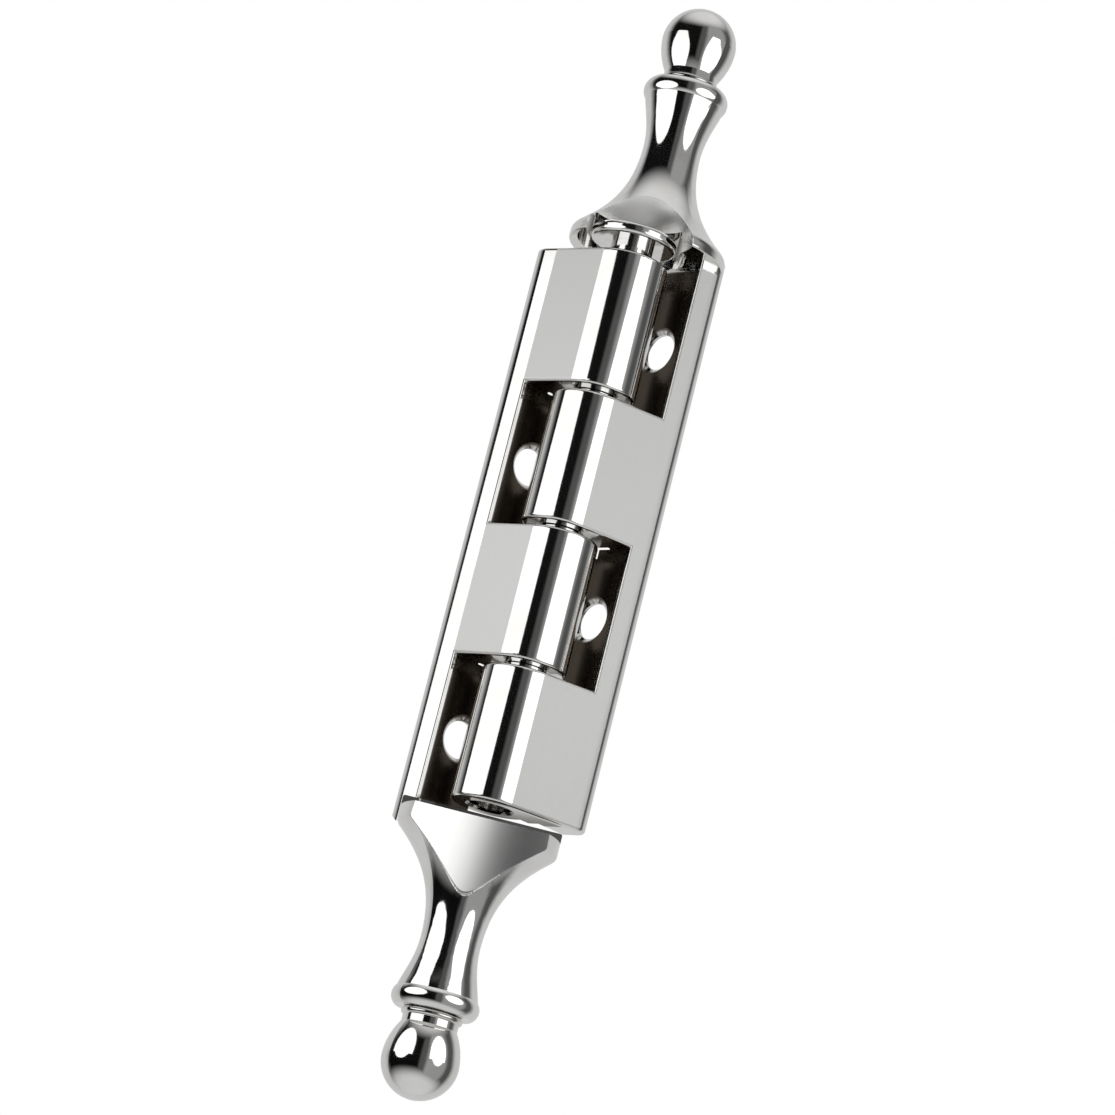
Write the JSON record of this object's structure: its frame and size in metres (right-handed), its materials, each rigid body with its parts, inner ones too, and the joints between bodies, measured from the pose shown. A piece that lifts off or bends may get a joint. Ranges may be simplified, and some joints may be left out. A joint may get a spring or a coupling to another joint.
{
  "type": "decorative screw-on hinge",
  "caption": "Polished decorative face-fixed hinge: interleaved knuckle leaves with countersunk screw pockets, turning on a headed pin, each leaf ending in a turned ball finial.",
  "frame": {"origin": "on the axis of the hinge pin, in the middle of the four knuckles", "axes": "+Z along the pin towards the door leaf's finial, +Y square to the frame leaf's mounting face and out of its back, +X away from the frame leaf"},
  "size_m": [0.0191, 0.0185, 0.1284],
  "materials": {
    "polished_chrome": "mirror-bright plated zinc casting",
    "pin_chrome": "mirror-bright plated steel"
  },
  "bodies": {
    "frame_side": {"frame_leaf": "polished_chrome", "pin": "pin_chrome"},
    "door_side": {"door_leaf": "polished_chrome"}
  },
  "joints": [
    {"name": "door_swing", "type": "hinge", "parent": "frame_side", "child": "door_side", "pos_m": [0, 0, 0], "axis": [0, 0, -1], "range_deg": [-84, 96]}
  ]
}
